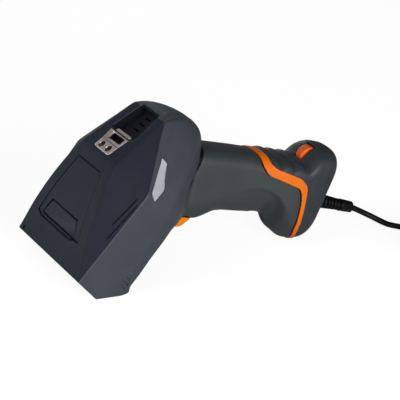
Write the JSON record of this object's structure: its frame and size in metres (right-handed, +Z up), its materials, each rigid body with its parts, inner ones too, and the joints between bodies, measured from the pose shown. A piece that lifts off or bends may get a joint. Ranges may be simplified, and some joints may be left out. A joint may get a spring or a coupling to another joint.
{
  "type": "barcode scanner",
  "caption": "Corded pistol-grip barcode scanner with a wide wedge head, trigger, coloured grip band and a coiled lead, lying on its nose.",
  "frame": {"origin": "on the surface it lies on, under the middle of the scanner's own bounding box (the lead and its plug left out)", "axes": "+X from the grip towards the head's front rim, +Y to the side that shows in the picture, +Z up from the surface it lies on"},
  "size_m": [0.3005, 0.1427, 0.1039],
  "materials": {
    "deck_plastic": "fine matt texture, dark slate",
    "shell_plastic": "fine matt texture, slate grey",
    "grip_plastic": "fine matt texture, slate grey",
    "cover_plastic": "fine matt texture, slate grey",
    "black_plastic": "fine matt texture, black",
    "orange_plastic": "satin, orange",
    "button_orange": "satin, red orange",
    "light_diffuser": "frosted translucent light cover",
    "white_plastic": "matt white",
    "window_glass": "clear, flat",
    "black_rubber": "soft matt rubber",
    "lead_rubber": "soft matt rubber",
    "plated_steel": "satin nickel plate",
    "steel": "bright steel",
    "cast_alloy": "die cast, matt",
    "board_green": "solder mask green",
    "led_lens": "clear lamp",
    "ribbon_film": "polyimide film",
    "plug_tongue_blue": "moulded blue"
  },
  "bodies": {
    "scanner": {"head_top_cover": "deck_plastic", "head_body_shell": "shell_plastic", "label_plate": "deck_plastic", "channel_tray": "black_plastic", "hang_bracket": "plated_steel", "bracket_screws": "plated_steel", "status_lights": "light_diffuser", "head_screws": "steel", "front_bezel": "black_rubber", "front_window": "window_glass", "diffuser_hood": "white_plastic", "led_board": "board_green", "leds": "led_lens", "lens_barrel": "black_plastic", "lens_glass": "window_glass", "camera_module": "black_plastic", "engine_frame": "cast_alloy", "main_board": "board_green", "processor_can": "steel", "buzzer": "black_plastic", "trigger_bracket": "steel", "trigger_pin": "steel", "trigger_spring": "steel", "trigger_switch": "black_plastic", "grip_shell": "grip_plastic", "colour_band": "orange_plastic", "back_cover": "cover_plastic", "grip_board": "board_green", "ribbon_cable": "ribbon_film", "vibration_motor": "steel", "lead_socket": "white_plastic", "lead_connector": "white_plastic", "inner_lead": "lead_rubber", "release_spring": "steel", "strain_relief": "lead_rubber", "lead": "lead_rubber", "lead_coil": "lead_rubber", "lead_tie": "black_plastic", "lead_tail": "lead_rubber", "plug_body": "lead_rubber", "plug_shell": "steel", "plug_tongue": "plug_tongue_blue"},
    "trigger": {"trigger": "orange_plastic"},
    "release": {"release_button": "button_orange"}
  },
  "joints": [
    {"name": "trigger_pull", "type": "hinge", "parent": "scanner", "child": "trigger", "pos_m": [0.02955, 0, 0.03211], "axis": [0, 1, 0], "range_deg": [0, 7], "stiffness_Nm_per_rad": 0.12},
    {"name": "release_press", "type": "slide", "parent": "scanner", "child": "release", "axis": [-0.5519, 0, -0.8339], "range_m": [0, 0.0014], "stiffness_N_per_m": 800}
  ]
}
